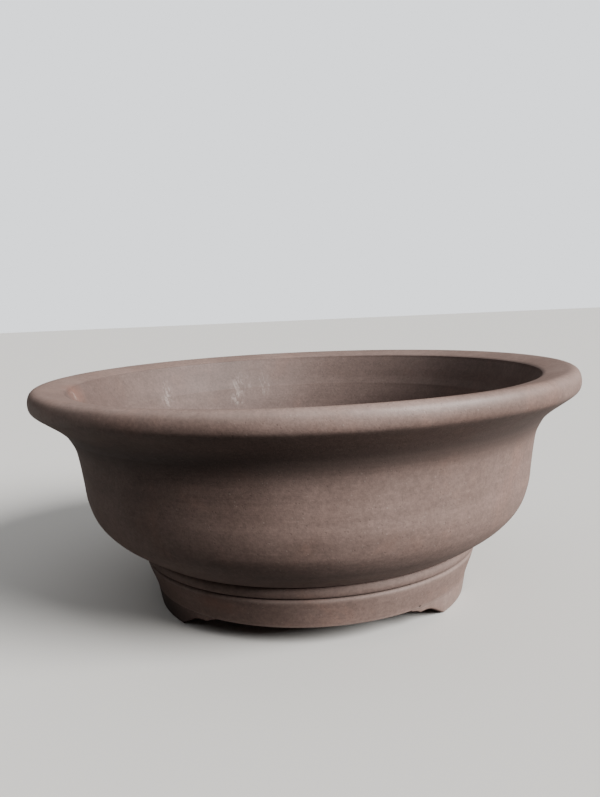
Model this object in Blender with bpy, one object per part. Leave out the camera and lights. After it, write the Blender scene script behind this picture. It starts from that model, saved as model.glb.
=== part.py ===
"""Round, unglazed bonsai pot with an overhanging lip and three cloud feet.

The pot is built the way a potter builds it: a lip and a bowl wall, a floor slab, a foot collar,
a foot ring and three feet, each a solid of its own that meets its neighbour in a stepped joint.
A drain mesh and its wire clip lie over the drain hole.  Up is +Z and the pot stands on Z = 0.
Its front is -Y: the gap between two feet faces that way, and the third foot is at the back.
"""
import math

import bmesh
import bpy
from mathutils import Matrix, Vector

# Driving dimensions, in millimetres and degrees.
MM = 0.001
HEIGHT = 125.0
LIP_RADIUS = 150.0
MOUTH_RADIUS = 130.7
LIP_JOINT_Z = 99.0
JOINT_STEP = 4.0
JOINT_GAP = 0.3
WALL_FOOT_Z = 33.8
WALL_FOOT_RADIUS = 96.8
FLOOR_UNDER_Z = 32.3
FLOOR_TOP_Z = 41.3
FLOOR_FALL = 1.0
FLOOR_RADIUS = 92.5
BOSS_RADIUS = 88.2
DRAIN_RADIUS = 18.0
TIE_HOLE_RADIUS = 2.5
TIE_HOLE_CIRCLE = 58.0
TIE_HOLES = 4
COLLAR_TOP_Z = 33.2
COLLAR_BASE_Z = 26.7
RING_BASE_Z = 10.7
RING_INNER_RADIUS = 80.0
FEET = {"foot_right": -30.0, "foot_left": -150.0, "foot_back": 90.0}
FOOT_TOP_Z = RING_BASE_Z - JOINT_GAP
FOOT_OUTER_RADIUS = 89.6
FOOT_INNER_RADIUS = 81.0
FOOT_LEAN = 1.5
FOOT_PAD_HALF_ANGLE = 9.4
FOOT_HALF_ANGLE = 27.2
MESH_CELLS = 9
MESH_PITCH = 6.0
MESH_STRAND = 1.2
MESH_THICKNESS = 1.5
MESH_BASE_Z = FLOOR_TOP_Z - 0.4
CLIP_RADIUS = 0.8
CLIP_LEG_X = 12.0
CLIP_TAIL_X = 27.0
CLIP_BEND = 2.4
SEGMENTS = 72

# Outlines as (radius, height), from the joint upwards or downwards.  A smooth curve runs
# through the points.
LIP_OUTSIDE = [(131.4, LIP_JOINT_Z), (133.8, 102.3), (138.0, 106.1), (143.0, 109.7),
               (147.3, 112.8), (149.3, 114.9), (LIP_RADIUS, 117.6), (149.8, 120.6),
               (148.9, 123.1), (147.2, 124.6), (144.9, HEIGHT), (140.6, 124.3), (136.1, 123.4),
               (132.2, 122.5), (MOUTH_RADIUS, 120.8)]
LIP_INSIDE = [(128.8, 117.6), (126.2, 112.4), (123.8, 107.0), (121.7, LIP_JOINT_Z + JOINT_STEP)]
WALL_OUTSIDE = [(131.2, LIP_JOINT_Z - JOINT_GAP), (128.2, 92.4), (126.6, 84.0), (125.3, 74.0),
                (124.0, 64.0), (120.6, 54.0), (114.4, 46.0), (106.4, 39.9),
                (WALL_FOOT_RADIUS, WALL_FOOT_Z)]
WALL_INSIDE = [(BOSS_RADIUS + JOINT_GAP, FLOOR_TOP_Z), (93.4, 41.9), (99.6, 44.6),
               (106.0, 49.8), (110.8, 56.8), (113.6, 65.0), (115.2, 74.0), (116.6, 84.0),
               (118.6, 94.0), (121.6, LIP_JOINT_Z + JOINT_STEP - JOINT_GAP)]
# Underside of a foot on one side of its middle, as (angle from the middle, height).
FOOT_EDGE = [(FOOT_PAD_HALF_ANGLE, 0.0), (10.2, 0.7), (11.6, 1.8), (14.6, 4.4), (16.6, 6.1),
             (18.6, 7.2), (20.8, 7.6), (22.6, 7.5), (23.4, 7.8), (24.4, 8.8), (25.6, 9.5),
             (FOOT_HALF_ANGLE, 9.8)]

STONEWARE = (0.205, 0.140, 0.115)
MESH_BLACK = (0.020, 0.020, 0.022)
WIRE_SILVER = (0.780, 0.780, 0.790)


def clear_scene():
    for old in list(bpy.data.objects):
        bpy.data.objects.remove(old)


def give_material(obj, colour, roughness, metallic=0.0):
    """Give the object its own plain material."""
    material = bpy.data.materials.new(obj.name)
    material.use_nodes = True
    shader = material.node_tree.nodes["Principled BSDF"]
    shader.inputs["Base Color"].default_value = (*colour, 1.0)
    shader.inputs["Roughness"].default_value = roughness
    shader.inputs["Metallic"].default_value = metallic
    obj.data.materials.append(material)


def finish_object(name, bm, smooth=True):
    """Turn the bmesh, still in millimetres, into a metre-sized object."""
    bmesh.ops.scale(bm, vec=(MM, MM, MM), verts=bm.verts)
    bmesh.ops.recalc_face_normals(bm, faces=bm.faces)
    for face in bm.faces:
        face.smooth = smooth
    mesh = bpy.data.meshes.new(name)
    bm.to_mesh(mesh)
    bm.free()
    obj = bpy.data.objects.new(name, mesh)
    bpy.context.collection.objects.link(obj)
    return obj


def smooth_line(points, steps=2, before=None):
    """Catmull-Rom curve through the points, which carries on smoothly from the one before."""
    ends = [before or points[0], *points, points[-1]]
    line = []
    for a, b, c, d in zip(ends, ends[1:], ends[2:], ends[3:]):
        for i in range(steps):
            t = i / steps
            line.append(tuple(
                0.5 * (2 * q + (r - p) * t + (2 * p - 5 * q + 4 * r - s) * t ** 2
                       + (3 * q - p - 3 * r + s) * t ** 3)
                for p, q, r, s in zip(a, b, c, d)))
    return line + [points[-1]]


def turned(name, section):
    """Spin a closed (radius, height) section round the Z axis into a ring."""
    bm = bmesh.new()
    verts = [bm.verts.new((r, 0.0, z)) for r, z in section]
    edges = [bm.edges.new(pair) for pair in zip(verts, verts[1:] + verts[:1])]
    bmesh.ops.spin(bm, geom=verts + edges, axis=(0, 0, 1), cent=(0, 0, 0),
                   angle=math.tau, steps=SEGMENTS)
    bmesh.ops.remove_doubles(bm, verts=bm.verts, dist=0.001)
    return finish_object(name, bm)


def lip():
    """Overhanging lip, with a step below that sits over the wall's top edge."""
    step_r = 126.4
    section = smooth_line(LIP_OUTSIDE, before=WALL_OUTSIDE[1]) + smooth_line(LIP_INSIDE)
    section += [(step_r, LIP_JOINT_Z + JOINT_STEP), (step_r, LIP_JOINT_Z)]
    return turned("rim_lip", section)


def wall():
    """Bowl wall: its top edge is stepped for the lip and its bottom edge sits on the floor."""
    step_r = 126.4 - JOINT_GAP
    section = smooth_line(WALL_OUTSIDE, before=LIP_OUTSIDE[1])
    section += [(BOSS_RADIUS + JOINT_GAP, WALL_FOOT_Z)]
    section += smooth_line(WALL_INSIDE)
    section += [(step_r, LIP_JOINT_Z + JOINT_STEP - JOINT_GAP), (step_r, LIP_JOINT_Z - JOINT_GAP)]
    return turned("bowl_wall", section)


def floor():
    """Floor slab with a shallow fall to its drain hole and four tie-wire holes."""
    drain_z = FLOOR_TOP_Z - FLOOR_FALL
    section = [(DRAIN_RADIUS, FLOOR_UNDER_Z), (FLOOR_RADIUS - 1.2, FLOOR_UNDER_Z),
               (FLOOR_RADIUS, FLOOR_UNDER_Z + 0.8), (FLOOR_RADIUS, WALL_FOOT_Z - JOINT_GAP),
               (BOSS_RADIUS, WALL_FOOT_Z - JOINT_GAP), (BOSS_RADIUS, FLOOR_TOP_Z - 0.4),
               (BOSS_RADIUS - 1.0, FLOOR_TOP_Z), (DRAIN_RADIUS + 1.5, drain_z),
               (DRAIN_RADIUS, drain_z - 1.5)]
    slab = turned("floor_slab", section)
    bm = bmesh.new()
    for i in range(TIE_HOLES):
        turn = Matrix.Rotation(math.tau * (i + 0.5) / TIE_HOLES, 4, "Z")
        place = turn @ Matrix.Translation((TIE_HOLE_CIRCLE, 0.0, FLOOR_TOP_Z))
        bmesh.ops.create_cone(bm, cap_ends=True, segments=20, radius1=TIE_HOLE_RADIUS,
                              radius2=TIE_HOLE_RADIUS, depth=60.0, matrix=place)
    cutter = finish_object("tie_hole_cutter", bm)
    cutter.hide_render = True
    cutter.display_type = "WIRE"
    cut = slab.modifiers.new("tie_holes", "BOOLEAN")
    cut.object = cutter
    cut.operation = "DIFFERENCE"
    cut.solver = "EXACT"
    return slab


def collar():
    """Rounded band under the bowl: it rises round the floor's edge and has a rib below."""
    under = FLOOR_UNDER_Z - JOINT_GAP
    edge = FLOOR_RADIUS + JOINT_GAP
    section = [(85.6, under), (edge, under), (edge, COLLAR_TOP_Z), (93.9, COLLAR_TOP_Z),
               (95.2, 32.8), (96.0, 31.9), (96.2, 30.4), (95.9, 28.8), (95.0, 27.5),
               (93.6, COLLAR_BASE_Z), (90.5, COLLAR_BASE_Z), (90.5, 25.0), (85.6, 25.0)]
    return turned("foot_collar", section)


def ring():
    """Foot ring: a band that leans in towards its lower edge."""
    top = COLLAR_BASE_Z - JOINT_GAP
    section = [(90.8, 24.7), (90.8, top), (93.4, top), (94.3, 26.0), (94.6, 25.0), (93.6, 21.6),
               (92.0, 17.2), (90.6, 13.6), (90.1, 12.2), (90.2, 11.3), (89.6, RING_BASE_Z),
               (RING_INNER_RADIUS + 1.0, RING_BASE_Z), (RING_INNER_RADIUS, 11.7),
               (RING_INNER_RADIUS, 23.7), (RING_INNER_RADIUS + 1.0, 24.7)]
    return turned("foot_ring", section)


def foot(name, middle):
    """Cloud foot: an arc-shaped bracket whose lower edge steps up in two small arches."""
    edge = smooth_line(FOOT_EDGE)
    pad = [(FOOT_PAD_HALF_ANGLE * i / 4, 0.0) for i in range(-3, 4)]
    outline = [(-a, z) for a, z in reversed(edge)] + pad + edge
    bm = bmesh.new()
    loops = []
    for angle, low in outline:
        lean = FOOT_LEAN * (FOOT_TOP_Z - low) / FOOT_TOP_Z
        inset = min(0.8, 0.5 * (FOOT_TOP_Z - low))
        outer, inner = FOOT_OUTER_RADIUS - lean, FOOT_INNER_RADIUS + 0.3 * lean
        radii = [(FOOT_INNER_RADIUS, FOOT_TOP_Z), (FOOT_OUTER_RADIUS, FOOT_TOP_Z),
                 (outer, low + inset), (outer - 0.3 * inset, low + 0.3 * inset),
                 (outer - inset, low), (inner + inset, low), (inner, low + inset)]
        turn = Matrix.Rotation(math.radians(middle + angle), 4, "Z")
        verts = [bm.verts.new(turn @ Vector((r, 0.0, z))) for r, z in radii]
        loops.append([bm.edges.new(pair) for pair in zip(verts, verts[1:] + verts[:1])])
    for one, two in zip(loops, loops[1:]):
        bmesh.ops.bridge_loops(bm, edges=one + two)
    for last in (loops[0], loops[-1]):
        bmesh.ops.edgeloop_fill(bm, edges=last)
    return finish_object(name, bm)


def drain_mesh():
    """Square plastic mesh that keeps the soil in over the drain hole."""
    bm = bmesh.new()
    lines = []
    for i in range(MESH_CELLS + 1):
        middle = (i - MESH_CELLS / 2) * MESH_PITCH
        lines += [middle - MESH_STRAND / 2, middle + MESH_STRAND / 2]
    grid = [[bm.verts.new((x, y, MESH_BASE_Z)) for x in lines] for y in lines]
    sheet = []
    for row in range(len(lines) - 1):
        for col in range(len(lines) - 1):
            if row % 2 and col % 2:
                continue
            corners = (grid[row][col], grid[row][col + 1],
                       grid[row + 1][col + 1], grid[row + 1][col])
            sheet.append(bm.faces.new(corners))
    raised = bmesh.ops.extrude_face_region(bm, geom=sheet)["geom"]
    top = [item for item in raised if isinstance(item, bmesh.types.BMVert)]
    bmesh.ops.translate(bm, vec=(0.0, 0.0, MESH_THICKNESS), verts=top)
    return finish_object("drain_mesh", bm, smooth=False)


def rounded_path(corners, radius, steps=4):
    """Line in the XZ plane through the corners, each corner rounded by a short arc."""
    path = [Vector(corners[0])]
    for before, corner, after in zip(corners, corners[1:], corners[2:]):
        corner = Vector(corner)
        start = corner + (Vector(before) - corner).normalized() * radius
        end = corner + (Vector(after) - corner).normalized() * radius
        for i in range(steps + 1):
            t = i / steps
            path.append(start.lerp(corner, t).lerp(corner.lerp(end, t), t))
    return path + [Vector(corners[-1])]


def clip():
    """Wire clip: a bar across the mesh, with legs bent out under the floor."""
    bar_z = MESH_BASE_Z + MESH_THICKNESS + JOINT_GAP + CLIP_RADIUS
    tail_z = FLOOR_UNDER_Z - JOINT_GAP - CLIP_RADIUS
    corners = [(-CLIP_TAIL_X, 0.0, tail_z), (-CLIP_LEG_X, 0.0, tail_z), (-CLIP_LEG_X, 0.0, bar_z),
               (CLIP_LEG_X, 0.0, bar_z), (CLIP_LEG_X, 0.0, tail_z), (CLIP_TAIL_X, 0.0, tail_z)]
    path = rounded_path(corners, CLIP_BEND)
    curve = bpy.data.curves.new("clip_path", "CURVE")
    curve.dimensions = "3D"
    curve.bevel_depth = CLIP_RADIUS * MM
    curve.bevel_resolution = 2
    curve.use_fill_caps = True
    spline = curve.splines.new("POLY")
    spline.points.add(len(path) - 1)
    for point, place in zip(spline.points, path):
        point.co = (*(place * MM), 1.0)
    wire = bpy.data.objects.new("clip_path", curve)
    mesh = bpy.data.meshes.new_from_object(wire)
    bpy.data.objects.remove(wire)
    bm = bmesh.new()
    bm.from_mesh(mesh)
    bpy.data.meshes.remove(mesh)
    bmesh.ops.remove_doubles(bm, verts=bm.verts, dist=0.00001)
    bmesh.ops.scale(bm, vec=(1 / MM, 1 / MM, 1 / MM), verts=bm.verts)
    return finish_object("mesh_clip", bm)


clear_scene()
clay = [lip(), wall(), floor(), collar(), ring()]
clay += [foot(name, middle) for name, middle in FEET.items()]
for piece in clay:
    give_material(piece, STONEWARE, 0.85)
give_material(drain_mesh(), MESH_BLACK, 0.55)
give_material(clip(), WIRE_SILVER, 0.35, metallic=1.0)
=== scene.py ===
# %% [markdown]
# # A round bonsai pot in unglazed stoneware
#
# A bonsai pot is turned and luted from a few clay members: a heavy lip, a bellied wall, a floor
# with a drain hole, and a recessed foot with three feet. The engineering model of those members
# is loaded first. It is the frame: each finer piece made below rides on it and stands in for one
# of its nodes. The size of that frame is kept, so that the finished pot can be held against it.

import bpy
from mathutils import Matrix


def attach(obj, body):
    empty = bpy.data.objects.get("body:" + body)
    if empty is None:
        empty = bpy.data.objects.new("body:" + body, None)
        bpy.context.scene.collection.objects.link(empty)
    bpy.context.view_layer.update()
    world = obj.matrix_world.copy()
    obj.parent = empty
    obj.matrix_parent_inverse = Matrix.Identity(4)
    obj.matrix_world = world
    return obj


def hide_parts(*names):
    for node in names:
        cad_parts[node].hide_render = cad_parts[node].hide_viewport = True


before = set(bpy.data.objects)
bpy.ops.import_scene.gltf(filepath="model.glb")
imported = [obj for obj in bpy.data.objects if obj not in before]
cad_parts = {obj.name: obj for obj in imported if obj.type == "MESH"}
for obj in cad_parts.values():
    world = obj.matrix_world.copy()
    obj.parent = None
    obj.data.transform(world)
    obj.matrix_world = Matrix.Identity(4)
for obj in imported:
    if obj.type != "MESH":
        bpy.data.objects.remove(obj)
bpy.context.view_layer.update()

import math

import bmesh
import bpy
from mathutils import Matrix, Vector, noise

# %% [markdown]
# The camera comes next, because every later choice is judged through it. The pot is looked at
# from just above its rim, close enough for the near lip to bulge towards the lens. The camera
# leans over by a couple of degrees, as a hand-held one does, and has no depth of field.

# %% Camera
CAMERA_DISTANCE = 0.4129
CAMERA_HEIGHT = 0.1638
CAMERA_YAW = -0.0059
CAMERA_PITCH = 0.1337
CAMERA_ROLL = -0.0434
LENS_MM = 32.52


def make_camera():
    data = bpy.data.cameras.new("camera")
    data.sensor_width = 36.0
    data.lens = LENS_MM
    data.clip_start = 0.01
    camera = bpy.data.objects.new("camera", data)
    bpy.context.collection.objects.link(camera)
    ahead = Vector((math.sin(CAMERA_YAW) * math.cos(CAMERA_PITCH),
                    math.cos(CAMERA_YAW) * math.cos(CAMERA_PITCH), -math.sin(CAMERA_PITCH)))
    level = Vector((math.cos(CAMERA_YAW), -math.sin(CAMERA_YAW), 0.0))
    upright = level.cross(ahead)
    right = math.cos(CAMERA_ROLL) * level + math.sin(CAMERA_ROLL) * upright
    up = right.cross(ahead)
    camera.matrix_world = Matrix.Translation((0.0, -CAMERA_DISTANCE, CAMERA_HEIGHT)) @ Matrix(
        (right, up, -ahead)).transposed().to_4x4()
    bpy.context.scene.camera = camera
    return camera


camera = make_camera()
print("camera lens", round(camera.data.lens, 1), "mm")

# %% [markdown]
# The floor is a plain pale sheet, wide enough for any view. It shows brighter to the camera than
# it lights, because a strong glow from below would wash out the shape of the neck. It throws
# most of its light back from under and behind the pot, and hardly any from in front, as a bench
# does when the pot stands at its edge.

# %% Floor
FLOOR_HALF_WIDTH = 6.0
FLOOR_COLOUR = (0.66, 0.65, 0.63, 1.0)
BOUNCE_IN_FRONT = (0.022, 0.020, 0.019, 1.0)
BOUNCE_BEHIND = (0.240, 0.222, 0.210, 1.0)
# Y where the bounce starts and where it is full, in metres, with the pot's axis at 0
BENCH_EDGE = (-0.125, -0.080)


def make_floor():
    bm = bmesh.new()
    bmesh.ops.create_grid(bm, x_segments=1, y_segments=1, size=FLOOR_HALF_WIDTH)
    mesh = bpy.data.meshes.new("floor")
    bm.to_mesh(mesh)
    bm.free()
    ground = bpy.data.objects.new("floor", mesh)
    bpy.context.collection.objects.link(ground)
    material = bpy.data.materials.new("floor_paint")
    material.use_nodes = True
    tree = material.node_tree
    shader = tree.nodes["Principled BSDF"]
    shader.inputs["Roughness"].default_value = 0.9
    seen = tree.nodes.new("ShaderNodeLightPath").outputs["Is Camera Ray"]
    place = tree.nodes.new("ShaderNodeSeparateXYZ")
    tree.links.new(tree.nodes.new("ShaderNodeTexCoord").outputs["Object"], place.inputs[0])
    edge = tree.nodes.new("ShaderNodeMapRange")
    edge.inputs["From Min"].default_value, edge.inputs["From Max"].default_value = BENCH_EDGE
    tree.links.new(place.outputs["Y"], edge.inputs["Value"])
    bounce, paint = (tree.nodes.new("ShaderNodeMix") for _ in range(2))
    bounce.data_type = paint.data_type = "RGBA"
    bounce.inputs[6].default_value, bounce.inputs[7].default_value = BOUNCE_IN_FRONT, BOUNCE_BEHIND
    paint.inputs[7].default_value = FLOOR_COLOUR
    tree.links.new(edge.outputs["Result"], bounce.inputs[0])
    tree.links.new(bounce.outputs[2], paint.inputs[6])
    tree.links.new(seen, paint.inputs[0])
    tree.links.new(paint.outputs[2], shader.inputs["Base Color"])
    mesh.materials.append(material)
    return ground


floor = make_floor()
print("floor", [round(c, 1) for c in floor.dimensions.xy], "metres")

# %% [markdown]
# The light is soft. The key stands for a tall window to the right and in front: it leaves the
# left side and the hollow under the lip dark, and it reaches over the rim to light the inside of
# the far left wall. A weaker, wider light from straight above stands for the ceiling and lifts
# the top of the lip. Both are suns with a wide angle, so that the light is as even over the floor
# as over the pot. The sky hardly lights at all, but shows as a pale wall behind the pot.

# %% Sky and suns
SKY_COLOUR = (0.93, 0.96, 1.0, 1.0)
SKY_SEEN = 1.65
SKY_LIGHT = 0.018
KEY_AZIMUTH = math.radians(59.5)
KEY_ELEVATION = math.radians(31.0)
KEY_SOFTNESS = math.radians(30.0)
KEY_STRENGTH = 7.9
KEY_COLOUR = (1.0, 0.985, 0.96)
CEILING_ELEVATION = math.radians(90.0)
CEILING_SOFTNESS = math.radians(110.0)
CEILING_STRENGTH = 1.4
CEILING_COLOUR = (1.0, 1.0, 1.0)


def make_sky():
    world = bpy.data.worlds.new("room")
    bpy.context.scene.world = world
    world.use_nodes = True
    tree = world.node_tree
    background = tree.nodes["Background"]
    background.inputs["Color"].default_value = SKY_COLOUR
    seen = tree.nodes.new("ShaderNodeLightPath").outputs["Is Camera Ray"]
    strength = tree.nodes.new("ShaderNodeMapRange")
    strength.inputs["To Min"].default_value = SKY_LIGHT
    strength.inputs["To Max"].default_value = SKY_SEEN
    tree.links.new(seen, strength.inputs["Value"])
    tree.links.new(strength.outputs["Result"], background.inputs["Strength"])


def make_sun(name, azimuth, elevation, softness, strength, colour):
    """A sun seen in the given direction, azimuth measured from the front to the right."""
    data = bpy.data.lights.new(name, "SUN")
    data.energy, data.angle, data.color = strength, softness, colour
    light = bpy.data.objects.new(name, data)
    towards = Vector((math.sin(azimuth) * math.cos(elevation),
                      -math.cos(azimuth) * math.cos(elevation), math.sin(elevation)))
    light.rotation_euler = towards.to_track_quat("Z", "Y").to_euler()
    bpy.context.collection.objects.link(light)


make_sky()
make_sun("window", KEY_AZIMUTH, KEY_ELEVATION, KEY_SOFTNESS, KEY_STRENGTH, KEY_COLOUR)
make_sun("ceiling", 0.0, CEILING_ELEVATION, CEILING_SOFTNESS, CEILING_STRENGTH, CEILING_COLOUR)
print("key light at", round(math.degrees(KEY_ELEVATION)), "degrees up")

# %% [markdown]
# Most clay members of a turned pot are rings with a shaped cross-section, so one small kit of
# helpers makes them. A curve is drawn through a few (radius, height) points, the closed
# section is spun round the upright axis, and the result is joined up at its seam. A lathe-like
# spin is chosen over stacking rings because it keeps the section in one readable list.

# %% Helpers for turned pieces
MM = 0.001
TURN_STEPS = 192
CURVE_STEP_MM = 0.9


def curve_through(points, step=CURVE_STEP_MM, before=None):
    """Smooth curve through the points, in pieces about one step long.

    It is a Catmull-Rom curve. With a point before, it carries on smoothly from there.
    """
    ends = [before or points[0], *points, points[-1]]
    line = []
    for a, b, c, d in zip(ends, ends[1:], ends[2:], ends[3:]):
        parts = max(1, round(math.dist(b, c) / step))
        for i in range(parts):
            t = i / parts
            line.append(tuple(
                0.5 * (2 * q + (r - p) * t + (2 * p - 5 * q + 4 * r - s) * t ** 2
                       + (3 * q - p - 3 * r + s) * t ** 3)
                for p, q, r, s in zip(a, b, c, d)))
    return line + [points[-1]]


def spin_section(section, steps=TURN_STEPS):
    """Closed (radius, height) section in millimetres, spun into a ring of metres."""
    bm = bmesh.new()
    verts = [bm.verts.new((r * MM, 0.0, z * MM)) for r, z in section]
    edges = [bm.edges.new(pair) for pair in zip(verts, verts[1:] + verts[:1])]
    bmesh.ops.spin(bm, geom=verts + edges, axis=(0, 0, 1), cent=(0, 0, 0),
                   angle=math.tau, steps=steps, use_merge=True)
    bmesh.ops.remove_doubles(bm, verts=bm.verts, dist=1e-6)
    bmesh.ops.recalc_face_normals(bm, faces=bm.faces)
    return bm


print("turned pieces have", TURN_STEPS, "steps round")

# %% [markdown]
# No fired pot is perfectly round: it slumps a little under the weight of its lip. One gentle
# squeeze is given to every clay member as a function of where a point lies, so that neighbours
# stay in touch at their joints. It only ever draws points inwards, which keeps the pot inside
# its stated size, and it fades out at the feet so that they still stand flat. The top of the lip
# also dips by less than a millimetre at the front left, since few fired rims are quite level.

# %% Slump of the fired clay
POT_HEIGHT = 0.125
# the share of the radius that is lost at the rim where the pot is narrowest
OUT_OF_ROUND = 0.0030
OUT_OF_ROUND_TURN = math.radians(35.0)
RIPPLE_DEPTH = 0.00012
RIPPLE_SCALE = 26.0
# nearer the axis than this the ripple dies away
RIPPLE_FULL_RADIUS = 0.05
LIP_DIP = 0.0007
LIP_DIP_TURN = math.radians(-112.0)
LIP_DIP_FROM = 0.112


def slump(point):
    """Where a point of the ideal pot ends up on the fired one."""
    angle = math.atan2(point.y, point.x)
    rise = min(1.0, max(0.0, point.z / POT_HEIGHT))
    squeeze = OUT_OF_ROUND * rise * 0.5 * (1.0 - math.cos(2.0 * (angle - OUT_OF_ROUND_TURN)))
    ripple = RIPPLE_DEPTH * rise * (noise.noise(point * RIPPLE_SCALE) - 1.0)
    scale = 1.0 - squeeze + ripple / max(math.hypot(point.x, point.y), RIPPLE_FULL_RADIUS)
    near_top = min(1.0, max(0.0, (point.z - LIP_DIP_FROM) / (POT_HEIGHT - LIP_DIP_FROM)))
    dip = LIP_DIP * near_top * (0.5 + 0.5 * math.cos(angle - LIP_DIP_TURN)) ** 1.5
    return Vector((point.x * scale, point.y * scale, point.z - dip))


print("the lip dips by at most", round(LIP_DIP * 1000, 1), "mm")

# %% [markdown]
# Clay is rubbed pale on its proud edges and holds grime in its grooves. The pale edges are partly
# wear and partly a painted highlight where an edge catches the light, as along the lower edge of
# the foot ring. The grooves hold painted shade as well as grime, and the widest of them, under the
# lip, is the lip's shadow painted on the neck. Both are stored on the mesh as numbers for each
# vertex, worked out from how near the vertex is to a listed edge or groove of the section. The
# clay material reads them later, so the wear, the grime and the painted light follow the shape. A
# third number marks the inside of the pot, which is more matte than the outside and darker with
# painted shade. It comes from which way the surface faces, and the top of the floor counts as
# inside too.

# %% Wear, grime and painted light stored on the mesh
# pale edges: partly wear, partly a painted highlight where an edge, such as the ring's lower edge,
# catches the light
# (radius, height, reach) in millimetres
RUBBED_AND_LIT_EDGES = [(149.2, 122.6, 2.4), (96.2, 30.6, 1.3), (94.6, 25.2, 0.9),
                (90.0, 11.1, 0.5), (88.0, 0.6, 1.2), (18.4, 40.3, 1.2)]
# grooves: grime with painted shade; the widest one, under the lip, paints the lip's shadow on the
# neck
GRIME_AND_SHADE_GROOVES = [(94.6, 33.5, 1.0), (93.4, 26.6, 0.8), (132.4, 99.8, 8.0), (89.5, 41.4, 3.4)]
# heights in millimetres that hold the top of the floor and the curve up to the wall
FLOOR_BAND = (40.0, 50.0)
# how squarely a surface faces the axis where inside starts, and where it is full
INWARDS_FROM, INWARDS_TO = 0.3, 0.7


def nearness(radius, height, places):
    """1 on one of the places, falling away smoothly over its reach."""
    return max(math.exp(-((radius - r) ** 2 + (height - z) ** 2) / reach ** 2)
               for r, z, reach in places)


def insideness(vert, height):
    """1 on a surface that faces the axis and on the top of the floor, 0 on the outside."""
    inwards = -vert.normal.xy.dot(vert.co.xy.normalized())
    if FLOOR_BAND[0] < height < FLOOR_BAND[1] and inwards > -INWARDS_FROM:
        return 1.0
    return min(1.0, max(0.0, (inwards - INWARDS_FROM) / (INWARDS_TO - INWARDS_FROM)))


def finish_clay(bm, name, nodes):
    """Slump the clay, store its wear, grime and painted light, make the object and let it stand
    for its frame nodes.
    """
    rubbed_and_lit = bm.verts.layers.float.new("rubbed_and_lit")
    grimy_and_shaded = bm.verts.layers.float.new("grimy_and_shaded")
    inside = bm.verts.layers.float.new("inside")
    bm.normal_update()
    for vert in bm.verts:
        radius, height = vert.co.xy.length / MM, vert.co.z / MM
        # pale edges: wear, and a painted highlight where an edge catches the light
        vert[rubbed_and_lit] = nearness(radius, height, RUBBED_AND_LIT_EDGES)
        # grime, and painted shade in the grooves and under the lip
        vert[grimy_and_shaded] = nearness(radius, height, GRIME_AND_SHADE_GROOVES)
        # the inside, which the clay darkens with painted shade and makes more matte
        vert[inside] = insideness(vert, height)
        vert.co = slump(vert.co)
    return finish_piece(bm, name, nodes)


def finish_piece(bm, name, nodes, sharp=math.radians(38.0)):
    """Turn a bmesh in metres into a piece that rides on the pot and replaces its nodes."""
    bmesh.ops.recalc_face_normals(bm, faces=bm.faces)
    for face in bm.faces:
        face.smooth = True
    mesh = bpy.data.meshes.new(name)
    bm.to_mesh(mesh)
    bm.free()
    mesh.set_sharp_from_angle(angle=sharp)
    piece = bpy.data.objects.new(name, mesh)
    bpy.context.collection.objects.link(piece)
    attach(piece, "root")
    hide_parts(*nodes)
    print(name, len(mesh.vertices), "vertices")
    return piece


# %% [markdown]
# ## The lip
#
# The lip is the thickest member: about 26 mm deep, nearly flat on top, with a full round nose and
# an underside that sweeps back into the neck. It could be a bevelled ring, but the sweep is one
# continuous curve, so it is spun from a section. Its foot is stepped, where it sits over the
# wall, and the curve of each side of the joint is led by a point from the other side.

# %% Lip
LIP_JOINT = 99.0
JOINT_STEP = 4.0
STEP_RADIUS = 126.4
NECK_POINT = (131.4, LIP_JOINT)
NECK_BELOW, NECK_ABOVE = (128.2, 92.4), (133.8, 102.3)
LIP_OUTSIDE = [NECK_POINT, NECK_ABOVE, (138.0, 106.1), (143.0, 109.7), (147.3, 112.8),
               (149.3, 114.9), (150.0, 117.6), (149.8, 120.6), (148.9, 123.1), (147.2, 124.6),
               (144.9, 125.0), (140.6, 124.3), (136.1, 123.4), (132.2, 122.5), (131.1, 121.9),
               (130.7, 120.8)]
LIP_INSIDE = [(130.7, 120.8), (128.9, 117.6), (126.2, 112.4), (123.8, 107.0),
              (121.7, LIP_JOINT + JOINT_STEP)]

lip_section = curve_through(LIP_OUTSIDE, before=NECK_BELOW)[:-1] + curve_through(LIP_INSIDE)
lip_section += [(STEP_RADIUS, LIP_JOINT + JOINT_STEP), (STEP_RADIUS, LIP_JOINT)]
rim_lip = finish_clay(spin_section(lip_section), "rim_lip_clay", ["rim_lip"])

# %% [markdown]
# ## The bowl wall
#
# Below the lip the wall is hollow at the neck, almost upright in the middle, and round at the
# belly, where it tucks under to the floor. The wall is 8 to 10 mm thick, so the inside has a
# curve of its own rather than a copy of the outside. Both curves go into one closed section.

# %% Bowl wall
FLOOR_TOP = 41.3
BOSS_RADIUS = 88.2
FLANGE_TOP = 33.65
WALL_OUTSIDE = [NECK_POINT, NECK_BELOW, (126.6, 84.0), (125.3, 74.0), (124.0, 64.0),
                (120.6, 54.0), (114.4, 46.0), (106.4, 39.6), (97.9, 34.0), (96.7, 33.4),
                (95.4, 33.45), (94.6, 33.65)]
WALL_INSIDE = [(BOSS_RADIUS, FLOOR_TOP), (93.4, 41.9), (99.6, 44.6), (106.0, 49.8),
               (110.8, 56.8), (113.6, 65.0), (115.2, 74.0), (116.6, 84.0), (118.6, 94.0),
               (121.7, LIP_JOINT + JOINT_STEP)]

wall_section = curve_through(WALL_OUTSIDE, before=NECK_ABOVE)
wall_section += [(BOSS_RADIUS, FLANGE_TOP)] + curve_through(WALL_INSIDE)
wall_section += [(STEP_RADIUS, LIP_JOINT + JOINT_STEP), (STEP_RADIUS, LIP_JOINT)]
bowl_wall = finish_clay(spin_section(wall_section), "bowl_wall_clay", ["bowl_wall"])

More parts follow.
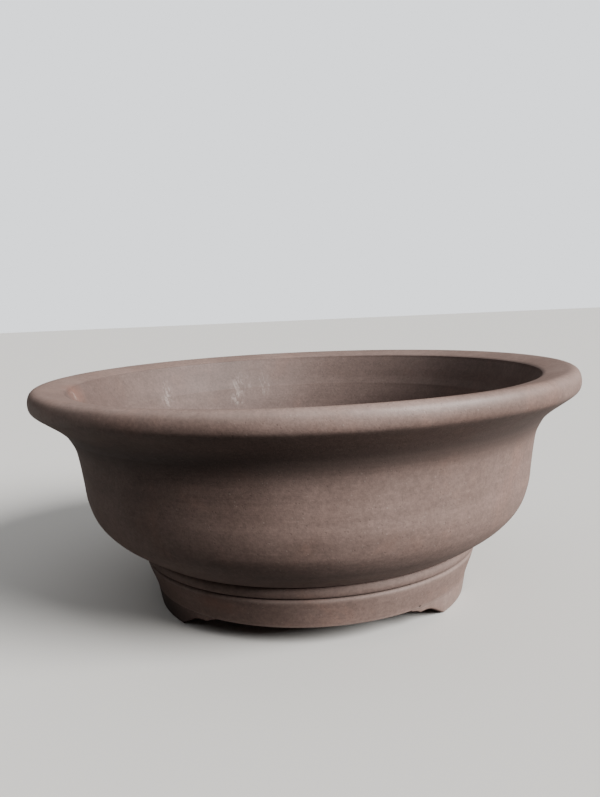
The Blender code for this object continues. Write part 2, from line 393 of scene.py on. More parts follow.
# %% [markdown]
# ## The floor
#
# The floor is a slab that the wall stands on. It falls slightly towards the drain hole, whose
# edge has been wiped round with a wet finger. The hole is part of the spun section, so its
# rounded edges are arcs in that section.

# %% Floor slab
FLOOR_UNDER = 32.3
FLOOR_RADIUS = 92.6
DRAIN_RADIUS = 18.0
DRAIN_TOP = 40.3
DRAIN_EDGE = 1.6


def quarter(centre, radius, start, end, steps=6):
    """Short arc of a section, from one angle to another in degrees."""
    turns = [math.radians(start + (end - start) * i / steps) for i in range(steps + 1)]
    return [(centre[0] + radius * math.cos(t), centre[1] + radius * math.sin(t)) for t in turns]


def floor_slab_mesh():
    section = quarter((FLOOR_RADIUS - 0.4, FLOOR_UNDER + 0.4), 0.4, -90, 0)
    section += [(FLOOR_RADIUS, FLANGE_TOP), (BOSS_RADIUS, FLANGE_TOP), (BOSS_RADIUS, FLOOR_TOP)]
    section += curve_through([(86.0, FLOOR_TOP - 0.05), (60.0, 40.9), (40.0, 40.55),
                              (DRAIN_RADIUS + DRAIN_EDGE, DRAIN_TOP)], step=2.0)
    section += quarter((DRAIN_RADIUS + DRAIN_EDGE, DRAIN_TOP - DRAIN_EDGE), DRAIN_EDGE, 90, 180)
    section += quarter((DRAIN_RADIUS + 0.8, FLOOR_UNDER + 0.8), 0.8, 180, 270)
    section += [(30.0, FLOOR_UNDER), (60.0, FLOOR_UNDER), (85.0, FLOOR_UNDER)]
    return spin_section(section)


floor_slab_bm = floor_slab_mesh()
print("floor slab", len(floor_slab_bm.faces), "faces before the tie-wire holes")

# %% [markdown]
# The slab is pierced by four holes for the wires that tie a tree down. They sit off the axis, so
# they can't be part of the section. They are cut with a Boolean, by cutters that flare at both
# ends, which eases the holes' edges at the same time.

# %% Tie-wire holes
TIE_HOLE_RADIUS = 2.5
TIE_HOLE_CIRCLE = 58.0
TIE_HOLES = 4
TIE_HOLE_FLARE = 0.7
TIE_HOLE_TOP = 40.85


def tie_hole_cutters():
    """Four spools: straight in the slab, flared where they leave its two faces."""
    low, high = FLOOR_UNDER - 3.0, FLOOR_TOP + 3.0
    wide = TIE_HOLE_RADIUS + 3.0
    outline = [(0.0, low), (wide, low), (TIE_HOLE_RADIUS + TIE_HOLE_FLARE, FLOOR_UNDER - 0.02),
               (TIE_HOLE_RADIUS, FLOOR_UNDER + TIE_HOLE_FLARE),
               (TIE_HOLE_RADIUS, TIE_HOLE_TOP - TIE_HOLE_FLARE),
               (TIE_HOLE_RADIUS + TIE_HOLE_FLARE, TIE_HOLE_TOP + 0.02), (wide, high),
               (0.0, high)]
    bm = bmesh.new()
    for i in range(TIE_HOLES):
        spool = spin_section(outline, steps=32)
        turn = Matrix.Rotation(math.tau * (i + 0.5) / TIE_HOLES, 4, "Z")
        move = turn @ Matrix.Translation((TIE_HOLE_CIRCLE * MM, 0.0, 0.0))
        bmesh.ops.transform(spool, matrix=move, verts=spool.verts)
        part = bpy.data.meshes.new("spool")
        spool.to_mesh(part)
        spool.free()
        bm.from_mesh(part)
        bpy.data.meshes.remove(part)
    return bm


def carve(bm, cutter_bm):
    """Cut one bmesh out of another with an exact Boolean, and give the result back."""
    pair = []
    for one in (bm, cutter_bm):
        mesh = bpy.data.meshes.new("carving")
        one.to_mesh(mesh)
        one.free()
        obj = bpy.data.objects.new("carving", mesh)
        bpy.context.collection.objects.link(obj)
        pair.append(obj)
    block, cutter = pair
    cut = block.modifiers.new("cut", "BOOLEAN")
    cut.object, cut.operation, cut.solver = cutter, "DIFFERENCE", "EXACT"
    carved = bpy.data.meshes.new_from_object(
        block.evaluated_get(bpy.context.evaluated_depsgraph_get()))
    result = bmesh.new()
    result.from_mesh(carved)
    for obj in pair:
        mesh = obj.data
        bpy.data.objects.remove(obj)
        bpy.data.meshes.remove(mesh)
    bpy.data.meshes.remove(carved)
    return result


floor_slab = finish_clay(carve(floor_slab_bm, tie_hole_cutters()), "floor_slab_clay",
                         ["floor_slab"])

# %% [markdown]
# ## The foot collar and the foot ring
#
# The bowl stands on a recessed foot. A narrow rounded band, the collar, takes the joint with the
# belly, and a scored groove parts it from the foot ring, which leans in as it goes down. Its
# lower edge is crisp, and the feet carry on flush below it.

# %% Collar and ring
COLLAR_TOP = 33.25
COLLAR_BASE = 26.6
RING_BASE = 10.7
RING_INSIDE = 80.0
RIB_RADIUS = 90.6
RIB_BASE = 24.8

collar_section = [(85.6, FLOOR_UNDER), (FLOOR_RADIUS, FLOOR_UNDER), (FLOOR_RADIUS, COLLAR_TOP)]
collar_section += curve_through([(93.9, COLLAR_TOP), (95.3, 32.85), (96.0, 31.9), (96.2, 30.4),
                                 (95.9, 28.7), (95.1, 27.4), (93.6, 26.7)], step=0.4)
collar_section += [(93.0, COLLAR_BASE), (RIB_RADIUS, COLLAR_BASE), (RIB_RADIUS, RIB_BASE),
                   (85.6, RIB_BASE)]
foot_collar = finish_clay(spin_section(collar_section), "foot_collar_clay", ["foot_collar"])

ring_section = [(RIB_RADIUS, RIB_BASE), (RIB_RADIUS, COLLAR_BASE)]
ring_section += curve_through([(93.2, COLLAR_BASE), (93.7, 26.5), (94.3, 26.0), (94.6, 25.0),
                               (93.6, 21.6), (92.0, 17.2), (90.8, 13.8), (90.2, 12.0),
                               (89.95, 11.1)], step=0.5)
ring_section += [(89.85, 10.85), (89.6, RING_BASE), (RING_INSIDE + 1.0, RING_BASE)]
ring_section += quarter((RING_INSIDE + 1.0, RING_BASE + 1.0), 1.0, 270, 180)
ring_section += quarter((RING_INSIDE + 1.0, RIB_BASE - 1.0), 1.0, 180, 90)
foot_ring = finish_clay(spin_section(ring_section), "foot_ring_clay", ["foot_ring"])

# %% [markdown]
# ## The cloud feet
#
# Three bracket feet hold the ring about 11 mm off the shelf. The lower edge of each one leaves
# the ring in a small arch, runs level for a few millimetres, and sweeps down in a long S to the
# pad that it stands on. A foot is lofted: its cross-section is repeated along an arc, each time
# with its lower edge at the height that the outline gives, and the loops are bridged. The pad
# and the lower edges are rounded in the section itself.

# %% Feet
FEET = {"foot_right": -30.0, "foot_left": -150.0, "foot_back": 90.0}
PAD_HALF_ANGLE = 9.4
# (degrees from the foot's middle, height of its lower edge)
FOOT_EDGE = [(PAD_HALF_ANGLE, 0.0), (10.2, 0.7), (11.6, 1.8), (14.6, 4.4), (16.6, 6.1),
             (18.6, 7.2), (20.8, 7.6), (22.6, 7.5), (23.4, 7.8), (24.4, 8.8), (25.6, 9.5),
             (27.2, 10.2)]
FOOT_OUTSIDE = 89.8
FOOT_INSIDE = 81.0
FOOT_LEAN = 1.5
FOOT_ROUND = 1.2


def foot_section(low):
    """Section of a foot whose lower edge is at this height, as (radius, height) points."""
    lean = FOOT_LEAN * (RING_BASE - low) / RING_BASE
    inset = min(FOOT_ROUND, 0.5 * (RING_BASE - low))
    outer, inner = FOOT_OUTSIDE - lean, FOOT_INSIDE + 0.3 * lean
    section = [(FOOT_INSIDE, RING_BASE), (FOOT_OUTSIDE, RING_BASE)]
    section += quarter((outer - inset, low + inset), inset, 0, -90, steps=5)
    section += quarter((inner + inset, low + inset), inset, -90, -180, steps=5)
    return section


def foot_mesh(middle):
    edge = curve_through(FOOT_EDGE, step=0.45)
    pad = [(PAD_HALF_ANGLE * i / 10, 0.0) for i in range(-9, 10)]
    bm = bmesh.new()
    loops = []
    for angle, low in [(-a, z) for a, z in reversed(edge)] + pad + edge:
        turn = Matrix.Rotation(math.radians(middle + angle), 4, "Z")
        verts = [bm.verts.new(turn @ Vector((r * MM, 0.0, max(0.0, z) * MM)))
                 for r, z in foot_section(low)]
        loops.append([bm.edges.new(pair) for pair in zip(verts, verts[1:] + verts[:1])])
    for one, two in zip(loops, loops[1:]):
        bmesh.ops.bridge_loops(bm, edges=one + two)
    for last in (loops[0], loops[-1]):
        bmesh.ops.edgeloop_fill(bm, edges=last)
    return bm


feet = [finish_clay(foot_mesh(middle), name + "_clay", [name]) for name, middle in FEET.items()]

# %% [markdown]
# ## The drain mesh
#
# A square of black plastic mesh covers the drain hole and keeps the soil in. It is moulded, so
# its strands are softly rounded. A grid whose lines are moved to the edges of the strands gives
# strands and openings at once: the opening cells are deleted, the sheet is extruded, and a bevel
# rounds every strand.

# %% Drain mesh
MESH_CELLS = 9
MESH_PITCH = 6.0
MESH_STRAND = 1.2
MESH_THICKNESS = 1.5
MESH_BASE = 40.9
MESH_ROUND = 0.3


def drain_mesh_bmesh():
    lines = []
    for i in range(MESH_CELLS + 1):
        middle = (i - MESH_CELLS / 2) * MESH_PITCH
        lines += [middle - MESH_STRAND / 2, middle + MESH_STRAND / 2]
    half = (len(lines) - 1) / 2
    bm = bmesh.new()
    bmesh.ops.create_grid(bm, x_segments=len(lines) - 1, y_segments=len(lines) - 1, size=half)
    openings = [face for face in bm.faces
                if all(math.floor(c + half) % 2 for c in face.calc_center_median().xy)]
    bmesh.ops.delete(bm, geom=openings, context="FACES")
    for vert in bm.verts:
        x, y = (lines[round(c + half)] for c in vert.co.xy)
        vert.co = (x * MM, y * MM, MESH_BASE * MM)
    raised = bmesh.ops.extrude_face_region(bm, geom=bm.faces[:])["geom"]
    top = [item for item in raised if isinstance(item, bmesh.types.BMVert)]
    bmesh.ops.translate(bm, vec=(0.0, 0.0, MESH_THICKNESS * MM), verts=top)
    bmesh.ops.recalc_face_normals(bm, faces=bm.faces)
    corners = [edge for edge in bm.edges
               if len(edge.link_faces) == 2 and edge.calc_face_angle(0.0) > math.radians(60)]
    bmesh.ops.bevel(bm, geom=corners, offset=MESH_ROUND * MM, offset_type="OFFSET", segments=2,
                    profile=0.5, affect="EDGES", material=-1, clamp_overlap=True)
    return bm


drain_mesh = finish_piece(drain_mesh_bmesh(), "drain_mesh_plastic", ["drain_mesh"],
                          sharp=math.radians(70.0))

# %% [markdown]
# ## The clip
#
# A bright wire clip holds the mesh down: a bar across the top, and two legs that go down through
# the hole and bend out under the floor. A curve with a round bevel would do, but circles bridged
# along the wire's path give closed ends and an even mesh straight away.

# %% Mesh clip
CLIP_RADIUS = 0.8
CLIP_LEG = 12.0
CLIP_TAIL = 27.0
CLIP_BEND = 2.4
CLIP_SIDES = 16
CLIP_TOP = MESH_BASE + MESH_THICKNESS + 0.15 + CLIP_RADIUS
CLIP_UNDER = FLOOR_UNDER - 0.15 - CLIP_RADIUS


def rounded_path(corners, radius, steps=8):
    """Points along the corners, with each corner turned into a short curve."""
    path = [Vector(corners[0])]
    for before, corner, after in zip(corners, corners[1:], corners[2:]):
        corner = Vector(corner)
        start = corner + (Vector(before) - corner).normalized() * radius
        end = corner + (Vector(after) - corner).normalized() * radius
        for i in range(steps + 1):
            t = i / steps
            path.append(start.lerp(corner, t).lerp(corner.lerp(end, t), t))
    return path + [Vector(corners[-1])]


def clip_bmesh():
    """A round wire: a circle at each point of the path, square to it, then bridged."""
    path = rounded_path([(-CLIP_TAIL, 0.0, CLIP_UNDER), (-CLIP_LEG, 0.0, CLIP_UNDER),
                         (-CLIP_LEG, 0.0, CLIP_TOP), (CLIP_LEG, 0.0, CLIP_TOP),
                         (CLIP_LEG, 0.0, CLIP_UNDER), (CLIP_TAIL, 0.0, CLIP_UNDER)], CLIP_BEND)
    bm = bmesh.new()
    loops = []
    across = Vector((0.0, 1.0, 0.0))
    for i, point in enumerate(path):
        ahead = (path[min(i + 1, len(path) - 1)] - path[max(i - 1, 0)]).normalized()
        frame_axes = Matrix((across, ahead.cross(across), ahead)).transposed().to_4x4()
        place = Matrix.Translation(point * MM) @ frame_axes
        circle = bmesh.ops.create_circle(bm, segments=CLIP_SIDES, radius=CLIP_RADIUS * MM,
                                         matrix=place)["verts"]
        loops.append(list({edge for vert in circle for edge in vert.link_edges}))
    for one, two in zip(loops, loops[1:]):
        bmesh.ops.bridge_loops(bm, edges=one + two)
    for last in (loops[0], loops[-1]):
        bmesh.ops.edgeloop_fill(bm, edges=last)
    return bm


mesh_clip = finish_piece(clip_bmesh(), "mesh_clip_wire", ["mesh_clip"])

# %% [markdown]
# ## The clay
#
# Unglazed stoneware is matte and never one colour. It clouds from purple-brown to a warmer brown,
# it is full of fine grit, it keeps faint lines from turning, and it is paler where it has been
# rubbed and darker where grime sits. On edges that catch the light the pale rubbing is also a
# painted highlight, and in the grooves and under the lip the grime is also painted shade. Each of
# these effects is a node group, so that every clay material can use it with its own strength. The
# patterns read object coordinates, in metres, so they run across the joints between members
# without a break. A few helpers come first, which add a node and set or link its inputs in one
# line.

# %% Helpers for node trees
def add_node(tree, kind, inputs=(), **settings):
    """Add a node, set its properties, and set or link its inputs."""
    node = tree.nodes.new(kind)
    for name, value in settings.items():
        setattr(node, name, value)
    for key, value in dict(inputs).items():
        if isinstance(value, bpy.types.NodeSocket):
            tree.links.new(value, node.inputs[key])
        else:
            node.inputs[key].default_value = value
    return node


def maths(tree, operation, first, second=0.0, third=0.0, clamp=False):
    node = add_node(tree, "ShaderNodeMath", {0: first, 1: second, 2: third},
                    operation=operation, use_clamp=clamp)
    return node.outputs[0]


def ramp(tree, value, low, high, to_low=0.0, to_high=1.0):
    """Smooth step of a value from one range to another."""
    node = add_node(tree, "ShaderNodeMapRange",
                    {"Value": value, "From Min": low, "From Max": high,
                     "To Min": to_low, "To Max": to_high}, interpolation_type="SMOOTHSTEP")
    return node.outputs["Result"]


def blend(tree, factor, first, second, mode="MIX"):
    """Mix two colours."""
    node = add_node(tree, "ShaderNodeMix", data_type="RGBA", blend_type=mode)
    for socket, value in ((node.inputs[0], factor), (node.inputs[6], first),
                          (node.inputs[7], second)):
        if isinstance(value, bpy.types.NodeSocket):
            tree.links.new(value, socket)
        else:
            socket.default_value = value
    return node.outputs[2]


def cloud(tree, scale, detail=4.0, roughness=0.55, vector=None, distortion=0.0):
    """Noise on object coordinates, or on the given vector."""
    if vector is None:
        vector = add_node(tree, "ShaderNodeTexCoord").outputs["Object"]
    node = add_node(tree, "ShaderNodeTexNoise",
                    {"Vector": vector, "Scale": scale, "Detail": detail,
                     "Roughness": roughness, "Distortion": distortion})
    return node.outputs["Fac"]


print("node helpers:", ", ".join(f.__name__ for f in (add_node, maths, ramp, blend, cloud)))

# %% [markdown]
# A group needs sockets for what goes in and what comes out. These two helpers make an empty
# group with named sockets, and put a finished group into a tree.

# %% Helpers for node groups
FLOAT = "NodeSocketFloat"
COLOUR = "NodeSocketColor"
VECTOR = "NodeSocketVector"


def new_group(name, inputs, outputs):
    """Empty node group with (name, kind, default) inputs and (name, kind) outputs."""
    tree = bpy.data.node_groups.new(name, "ShaderNodeTree")
    for label, kind, default in inputs:
        socket = tree.interface.new_socket(name=label, in_out="INPUT", socket_type=kind)
        socket.default_value = default
    for label, kind in outputs:
        tree.interface.new_socket(name=label, in_out="OUTPUT", socket_type=kind)
    start = tree.nodes.new("NodeGroupInput")
    end = tree.nodes.new("NodeGroupOutput")
    return tree, start.outputs, end.inputs


def place_group(tree, group, inputs=()):
    """Put a group into a tree, and set or link its inputs."""
    node = tree.nodes.new("ShaderNodeGroup")
    node.node_tree = group
    for key, value in dict(inputs).items():
        if isinstance(value, bpy.types.NodeSocket):
            tree.links.new(value, node.inputs[key])
        else:
            node.inputs[key].default_value = value
    return node.outputs


print("group sockets:", FLOAT, COLOUR, VECTOR)

# %% [markdown]
# The first group is the body of the clay. A broad cloud moves the colour between two browns, a
# smaller one brings up iron-red patches, two finer ones mottle it, and grit shows as tiny dark
# and pale specks. The finest cloud and the grit also give the surface its bite, as a height for
# the bump.

# %% Clay body group
CLAY_DARK = (0.158, 0.105, 0.089, 1.0)
CLAY_LIGHT = (0.222, 0.154, 0.134, 1.0)
CLAY_RED = (0.250, 0.152, 0.122, 1.0)
GRIT_DARK = (0.070, 0.046, 0.040, 1.0)
GRIT_PALE = (0.380, 0.320, 0.285, 1.0)


def clay_body_group():
    tree, given, out = new_group(
        "clay body", [("Redness", FLOAT, 0.4)], [("Color", COLOUR), ("Height", FLOAT)])
    broad = cloud(tree, 13.0, detail=5.0, roughness=0.6)
    patches = cloud(tree, 34.0, detail=4.0, roughness=0.65, distortion=0.4)
    fine = cloud(tree, 620.0, detail=4.0, roughness=0.75)
    colour = blend(tree, ramp(tree, broad, 0.30, 0.70), CLAY_DARK, CLAY_LIGHT)
    red = maths(tree, "MULTIPLY", ramp(tree, patches, 0.50, 0.74), given["Redness"])
    colour = blend(tree, red, colour, CLAY_RED)
    mottle = ramp(tree, fine, 0.25, 0.75, 0.82, 1.18)
    colour = blend(tree, 1.0, colour, mottle, mode="MULTIPLY")
    middling = ramp(tree, cloud(tree, 240.0, detail=3.0, roughness=0.6), 0.30, 0.70, 0.94, 1.06)
    colour = blend(tree, 1.0, colour, middling, mode="MULTIPLY")
    point = add_node(tree, "ShaderNodeTexCoord").outputs["Object"]
    grains = add_node(tree, "ShaderNodeTexVoronoi",
                      {"Vector": point, "Scale": 760.0, "Randomness": 1.0})
    chance = add_node(tree, "ShaderNodeSeparateColor", {"Color": grains.outputs["Color"]})
    spot = ramp(tree, grains.outputs["Distance"], 0.40, 0.16)
    dark = maths(tree, "MULTIPLY", spot, ramp(tree, chance.outputs["Red"], 0.86, 0.98))
    pale = maths(tree, "MULTIPLY", spot, ramp(tree, chance.outputs["Green"], 0.88, 0.99))
    colour = blend(tree, maths(tree, "MULTIPLY", dark, 0.36), colour, GRIT_DARK)
    colour = blend(tree, maths(tree, "MULTIPLY", pale, 0.26), colour, GRIT_PALE)
    height = maths(tree, "MULTIPLY_ADD", fine, 0.7, maths(tree, "MULTIPLY", pale, 0.25))
    height = maths(tree, "SUBTRACT", height, maths(tree, "MULTIPLY", dark, 0.35))
    tree.links.new(colour, out["Color"])
    tree.links.new(height, out["Height"])
    return tree


clay_body = clay_body_group()
print("group", clay_body.name)

# %% [markdown]
# The second group draws the lines that a turning tool and a wet rib leave. They run round the
# pot, so the noise changes slowly with the direction from the axis and fast with the distance
# across the lines, which is mostly height on the wall and radius on the floor. Fine lines give a
# height, and broader ones streak the colour.

# %% Turning lines group
def turning_lines_group():
    tree, given, out = new_group(
        "turning lines", [("Color", COLOUR, CLAY_LIGHT), ("Depth", FLOAT, 0.5),
                          ("Streaks", FLOAT, 0.1)], [("Color", COLOUR), ("Height", FLOAT)])
    point = add_node(tree, "ShaderNodeTexCoord").outputs["Object"]
    part = add_node(tree, "ShaderNodeSeparateXYZ", {"Vector": point}).outputs
    flat = add_node(tree, "ShaderNodeCombineXYZ", {"X": part["X"], "Y": part["Y"]}).outputs[0]
    radius = add_node(tree, "ShaderNodeVectorMath", {0: flat}, operation="LENGTH")
    around = add_node(tree, "ShaderNodeVectorMath", {0: flat}, operation="NORMALIZE").outputs[0]
    across = maths(tree, "ADD", part["Z"], maths(tree, "MULTIPLY", radius.outputs["Value"], 0.7))
    turned = add_node(tree, "ShaderNodeSeparateXYZ", {"Vector": around}).outputs
    patterns = []
    for rate, wobble, detail in ((420.0, 0.9, 3.0), (110.0, 1.2, 4.0)):
        spot = add_node(tree, "ShaderNodeCombineXYZ",
                        {"X": maths(tree, "MULTIPLY", turned["X"], wobble),
                         "Y": maths(tree, "MULTIPLY", turned["Y"], wobble),
                         "Z": maths(tree, "MULTIPLY", across, rate)}).outputs[0]
        patterns.append(cloud(tree, 1.0, detail, 0.6, vector=spot))
    fine, broad = patterns
    streak = ramp(tree, broad, 0.25, 0.75, maths(tree, "SUBTRACT", 1.0, given["Streaks"]),
                  maths(tree, "ADD", 1.0, given["Streaks"]))
    tree.links.new(blend(tree, 1.0, given["Color"], streak, mode="MULTIPLY"), out["Color"])
    tree.links.new(maths(tree, "MULTIPLY", fine, given["Depth"]), out["Height"])
    return tree


turning_lines = turning_lines_group()
print("group", turning_lines.name)

# %% [markdown]
# The third group darkens the inside with painted shade, and the fourth lays on the wear and the
# grime, together with a painted highlight on edges that catch the light and painted shade in the
# grooves and under the lip. They read the numbers that were stored on the mesh. Rubbing is patchy,
# so a noise thins it out in places.

# %% Groups for the painted inside shade, and for wear with painted light
# painted shade inside the bowl
INSIDE_SHADE = (0.60, 0.60, 0.61, 1.0)
INSIDE_SHADE_STRENGTH = 0.95
# pale edge colour: wear, and a painted highlight
RUBBED_AND_LIT = (0.330, 0.262, 0.236, 1.0)
# grime colour, also used as painted shade in the grooves and under the lip
GRIME_AND_SHADE = (0.092, 0.066, 0.058, 1.0)
GRIME_AND_SHADE_STRENGTH = 0.80


def stored(tree, name):
    """A number stored on the mesh."""
    return add_node(tree, "ShaderNodeAttribute", attribute_name=name).outputs["Fac"]


def inside_shade_group():
    tree, given, out = new_group("painted inside shade", [("Color", COLOUR, CLAY_LIGHT)],
                                 [("Color", COLOUR), ("Inside", FLOAT)])
    inside = stored(tree, "inside")
    shade = maths(tree, "MULTIPLY", inside, INSIDE_SHADE_STRENGTH)
    tree.links.new(blend(tree, shade, given["Color"], INSIDE_SHADE, mode="MULTIPLY"), out["Color"])
    tree.links.new(inside, out["Inside"])
    return tree


def wear_grime_and_light_group():
    tree, given, out = new_group(
        "wear, grime and painted light", [("Color", COLOUR, CLAY_LIGHT), ("Rubbing and highlight", FLOAT, 0.3)],
        [("Color", COLOUR), ("Rubbed and lit", FLOAT)])
    patchy = ramp(tree, cloud(tree, 48.0, detail=5.0, roughness=0.7), 0.30, 0.70, 0.25, 1.0)
    # pale edges: wear, and a painted highlight
    rubbed_and_lit = maths(tree, "MULTIPLY", maths(tree, "MULTIPLY", stored(tree, "rubbed_and_lit"), patchy),
                   given["Rubbing and highlight"])
    colour = blend(tree, rubbed_and_lit, given["Color"], RUBBED_AND_LIT)
    # grime, and painted shade in the grooves and under the lip
    grime_and_shade_mask = maths(tree, "MULTIPLY", stored(tree, "grimy_and_shaded"), GRIME_AND_SHADE_STRENGTH)
    tree.links.new(blend(tree, grime_and_shade_mask, colour, GRIME_AND_SHADE), out["Color"])
    tree.links.new(rubbed_and_lit, out["Rubbed and lit"])
    return tree


painted_inside_shade = inside_shade_group()
wear_grime_and_painted_light = wear_grime_and_light_group()
print("groups", painted_inside_shade.name, "and", wear_grime_and_painted_light.name)

# %% [markdown]
# The last group is a mark at one place: a smear of chalky dust such as a dry brush leaves on the
# inside of a pot, a rusty blotch, a patch of painted shade, or a nick. It is a soft oval round a
# given centre. The Broken input says how much of it is broken up by noise, which is stretched
# upright, the way a hand brushes the inside of a wall.

# %% Mark group
STROKE_SHAPE = (2.2, 2.2, 0.7)


def mark_group():
    tree, given, out = new_group(
        "mark", [("Centre", VECTOR, (0.0, 0.0, 0.0)), ("Size", VECTOR, (0.01, 0.01, 0.02)),
                 ("Broken", FLOAT, 1.0)], [("Mask", FLOAT)])
    point = add_node(tree, "ShaderNodeTexCoord").outputs["Object"]
    offset = add_node(tree, "ShaderNodeVectorMath", {0: point, 1: given["Centre"]},
                      operation="SUBTRACT").outputs[0]
    scaled = add_node(tree, "ShaderNodeVectorMath", {0: offset, 1: given["Size"]},
                      operation="DIVIDE").outputs[0]
    far = add_node(tree, "ShaderNodeVectorMath", {0: scaled}, operation="LENGTH").outputs["Value"]
    oval = ramp(tree, far, 1.0, 0.1)
    drawn = add_node(tree, "ShaderNodeVectorMath", {0: scaled, 1: STROKE_SHAPE},
                     operation="MULTIPLY").outputs[0]
    strokes = cloud(tree, 1.8, detail=6.0, roughness=0.7, vector=drawn, distortion=0.5)
    grain = cloud(tree, 420.0, detail=3.0, roughness=0.7)
    broken = maths(tree, "MULTIPLY", ramp(tree, strokes, 0.46, 0.62), ramp(tree, grain, 0.25, 0.6))
    whole = maths(tree, "SUBTRACT", 1.0, given["Broken"])
    broken = maths(tree, "MULTIPLY_ADD", broken, given["Broken"], whole)
    tree.links.new(maths(tree, "MULTIPLY", oval, broken), out["Mask"])
    return tree


mark = mark_group()
print("group", mark.name)

# %% [markdown]
# Each mark on this pot has a place and a size of its own. The chalky smears are inside the far
# left wall, at the left end of the mouth and on the floor. Rusty blotches are inside the left end
# of the lip, on the right of the belly and on the left of the foot ring. The left foot has a dark
# patch of painted shade, and there are nicks above the right foot, and in the lip and the wall at
# the back. A painted mask could hold them all, but a short list of places needs no image and is
# easy to change.

# %% Marks on the clay
CHALK = (0.470, 0.415, 0.385, 1.0)
CHALK_STRENGTH = 0.5
RUST = (0.235, 0.118, 0.088, 1.0)
RUST_STRENGTH = 0.75
# colour of the painted shade on the left foot
FOOT_SHADE = (0.040, 0.027, 0.024, 1.0)
NICK = (0.030, 0.020, 0.018, 1.0)
# (centre, size) in metres
SMEARS = [((-0.0930, 0.0775, 0.1120), (0.0055, 0.0080, 0.0170)),
          ((-0.0915, 0.0740, 0.1010), (0.0080, 0.0100, 0.0060)),
          ((-0.0455, 0.1090, 0.1062), (0.0120, 0.0160, 0.0110)),
          ((-0.0290, 0.1154, 0.1075), (0.0060, 0.0100, 0.0150)),
          ((-0.0485, 0.1065, 0.0960), (0.0070, 0.0120, 0.0070)),
          ((-0.1265, -0.0160, 0.1175), (0.0050, 0.0080, 0.0045)),
          ((0.020, 0.060, 0.043), (0.030, 0.020, 0.010))]
BLOTCHES = [((-0.1270, -0.0130, 0.1185), (0.012, 0.023, 0.010)),
            ((0.118, 0.040, 0.060), (0.020, 0.030, 0.012)),
            ((-0.050, -0.085, 0.020), (0.022, 0.018, 0.007))]
# painted shade on the left foot
FOOT_SHADE_PATCHES = [((-0.0780, -0.0430, 0.0030), (0.045, 0.052, 0.0240))]
NICKS = [((0.0529, -0.0730, 0.0116), (0.0012, 0.0012, 0.0007)),
         ((-0.1030, 0.1068, 0.1195), (0.0013, 0.0013, 0.0009)),
         ((0.0700, 0.1030, 0.0620), (0.0010, 0.0010, 0.0012))]


def marks(tree, places, broken):
    """One mask for marks of a kind at several places."""
    mask = 0.0
    for centre, size in places:
        one = place_group(tree, mark, {"Centre": centre, "Size": size, "Broken": broken})
        mask = maths(tree, "ADD", one["Mask"], mask, clamp=True)
    return mask


print("marks", len(SMEARS + BLOTCHES + FOOT_SHADE_PATCHES + NICKS))

# %% [markdown]
# Now the clay material itself. The Principled shader stays here, and the groups feed its colour,
# roughness and bump. Each member gets its own copy with its own values: the lip is the smoothest,
# the floor is the roughest and has the strongest tool lines, and the feet are the reddest. Only
# the feet take the patch of painted shade, which darkens the left foot where it stands in shade.

# %% Clay materials
CLAY_SPECULAR = 0.42
RUBBED_SMOOTHER = -0.16
MATTE_ROUGHER = 0.12
CLOUDY_ROUGHNESS = 0.14
NICK_DEPTH = -4.0


def clay_material(name, lines, streaks, rubbed_and_lit, redness, rough, foot_shade_amount=0.0):
    material = bpy.data.materials.new(name)
    material.use_nodes = True
    tree = material.node_tree
    shader = tree.nodes["Principled BSDF"]
    body = place_group(tree, clay_body, {"Redness": redness})
    turning = place_group(tree, turning_lines,
                          {"Color": body["Color"], "Depth": lines, "Streaks": streaks})
    # painted shade on the inside
    hollow = place_group(tree, painted_inside_shade, {"Color": turning["Color"]})
    rust = marks(tree, BLOTCHES, 0.45)
    colour = blend(tree, maths(tree, "MULTIPLY", rust, RUST_STRENGTH), hollow["Color"], RUST)
    chalk = marks(tree, SMEARS, 1.0)
    colour = blend(tree, maths(tree, "MULTIPLY", chalk, CHALK_STRENGTH), colour, CHALK)
    # wear and grime, with a painted highlight on lit edges and painted shade in the grooves and
    # under the lip
    worn_grimy_and_painted = place_group(tree, wear_grime_and_painted_light, {"Color": colour, "Rubbing and highlight": rubbed_and_lit})
    # painted shade on the left foot
    foot_shade_mask = maths(tree, "MULTIPLY", marks(tree, FOOT_SHADE_PATCHES, 0.1), foot_shade_amount)
    colour = blend(tree, foot_shade_mask, worn_grimy_and_painted["Color"], FOOT_SHADE)
    nick = marks(tree, NICKS, 0.0)
    colour = blend(tree, nick, colour, NICK)
    tree.links.new(colour, shader.inputs["Base Color"])
    matte = maths(tree, "ADD", chalk, hollow["Inside"])
    roughness = maths(tree, "MULTIPLY_ADD", worn_grimy_and_painted["Rubbed and lit"], RUBBED_SMOOTHER, rough)
    roughness = maths(tree, "MULTIPLY_ADD", matte, MATTE_ROUGHER, roughness)
    roughness = maths(tree, "MULTIPLY_ADD", cloud(tree, 70.0), CLOUDY_ROUGHNESS, roughness)
    tree.links.new(roughness, shader.inputs["Roughness"])
    shader.inputs["Specular IOR Level"].default_value = CLAY_SPECULAR
    height = maths(tree, "ADD", turning["Height"], body["Height"])
    height = maths(tree, "MULTIPLY_ADD", nick, NICK_DEPTH, height)
    bump = add_node(tree, "ShaderNodeBump",
                    {"Strength": 0.55, "Distance": 0.00022, "Height": height})
    tree.links.new(bump.outputs["Normal"], shader.inputs["Normal"])
    return material


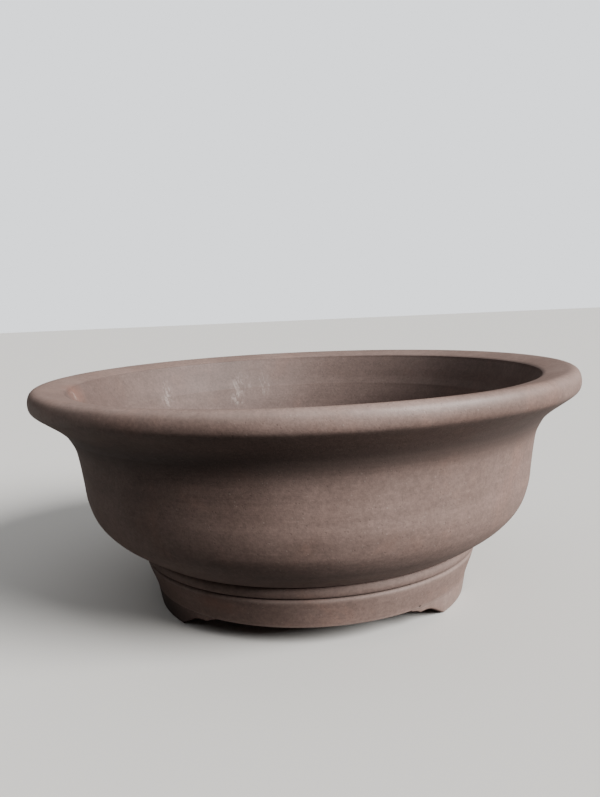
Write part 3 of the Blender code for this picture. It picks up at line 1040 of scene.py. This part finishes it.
# the ring's stronger rubbing also paints the highlight along its lower edge
for piece, values in (
        (rim_lip, dict(lines=0.5, streaks=0.05, rubbed_and_lit=0.35, redness=0.35, rough=0.46)),
        (bowl_wall, dict(lines=0.8, streaks=0.09, rubbed_and_lit=0.30, redness=0.45, rough=0.54)),
        (floor_slab, dict(lines=2.2, streaks=0.16, rubbed_and_lit=0.30, redness=0.55, rough=0.72)),
        (foot_collar, dict(lines=0.5, streaks=0.08, rubbed_and_lit=0.28, redness=0.50, rough=0.62)),
        (foot_ring, dict(lines=0.7, streaks=0.10, rubbed_and_lit=0.42, redness=0.55, rough=0.62)),
        *((foot, dict(lines=0.4, streaks=0.06, rubbed_and_lit=0.50, redness=0.60, rough=0.66, foot_shade_amount=0.9))
          for foot in feet)):
    piece.data.materials.append(clay_material(piece.name, **values))
print("clay materials on", 5 + len(feet), "pieces")

# %% [markdown]
# ## Plastic
#
# The mesh is black polyethylene with a slight sheen and a film of clay dust. The dust is a noise
# with a threshold, and it is rougher than the plastic as well as paler.

# %% Mesh plastic
MESH_BLACK = (0.012, 0.012, 0.013, 1.0)
MESH_WORN = (0.024, 0.024, 0.025, 1.0)
CLAY_DUST = (0.150, 0.115, 0.100, 1.0)


def mesh_material():
    material = bpy.data.materials.new("mesh_plastic")
    material.use_nodes = True
    tree = material.node_tree
    shader = tree.nodes["Principled BSDF"]
    dust = ramp(tree, cloud(tree, 130.0, detail=5.0, roughness=0.7), 0.48, 0.72, 0.0, 0.35)
    shade = ramp(tree, cloud(tree, 24.0), 0.3, 0.7)
    black = blend(tree, shade, MESH_BLACK, MESH_WORN)
    tree.links.new(blend(tree, dust, black, CLAY_DUST), shader.inputs["Base Color"])
    tree.links.new(maths(tree, "MULTIPLY_ADD", dust, 0.8, 0.38), shader.inputs["Roughness"])
    bump = add_node(tree, "ShaderNodeBump",
                    {"Strength": 0.4, "Distance": 0.0001, "Height": cloud(tree, 900.0)})
    tree.links.new(bump.outputs["Normal"], shader.inputs["Normal"])
    return material


drain_mesh.data.materials.append(mesh_material())
print("material", drain_mesh.data.materials[0].name)

# %% [markdown]
# ## Wire
#
# The clip is drawn aluminium wire: bright, with fine lines along its length and a duller bloom in
# patches. The noise for the lines is stretched along the bar, which turns it into streaks.

# %% Clip wire
WIRE_BRIGHT = (0.80, 0.80, 0.81, 1.0)
WIRE_DULL = (0.52, 0.52, 0.53, 1.0)
WIRE_STRETCH = (0.06, 1.0, 1.0)


def wire_material():
    material = bpy.data.materials.new("clip_wire")
    material.use_nodes = True
    tree = material.node_tree
    shader = tree.nodes["Principled BSDF"]
    shader.inputs["Metallic"].default_value = 1.0
    point = add_node(tree, "ShaderNodeTexCoord").outputs["Object"]
    drawn = add_node(tree, "ShaderNodeMapping", {"Vector": point, "Scale": WIRE_STRETCH})
    lines = cloud(tree, 2600.0, detail=2.0, vector=drawn.outputs["Vector"])
    bloom = ramp(tree, cloud(tree, 160.0, detail=4.0), 0.4, 0.7)
    tree.links.new(blend(tree, bloom, WIRE_BRIGHT, WIRE_DULL), shader.inputs["Base Color"])
    tree.links.new(maths(tree, "MULTIPLY_ADD", bloom, 0.30, 0.22), shader.inputs["Roughness"])
    bump = add_node(tree, "ShaderNodeBump",
                    {"Strength": 0.3, "Distance": 0.00005, "Height": lines})
    tree.links.new(bump.outputs["Normal"], shader.inputs["Normal"])
    return material


mesh_clip.data.materials.append(wire_material())
print("materials", len(bpy.data.materials))
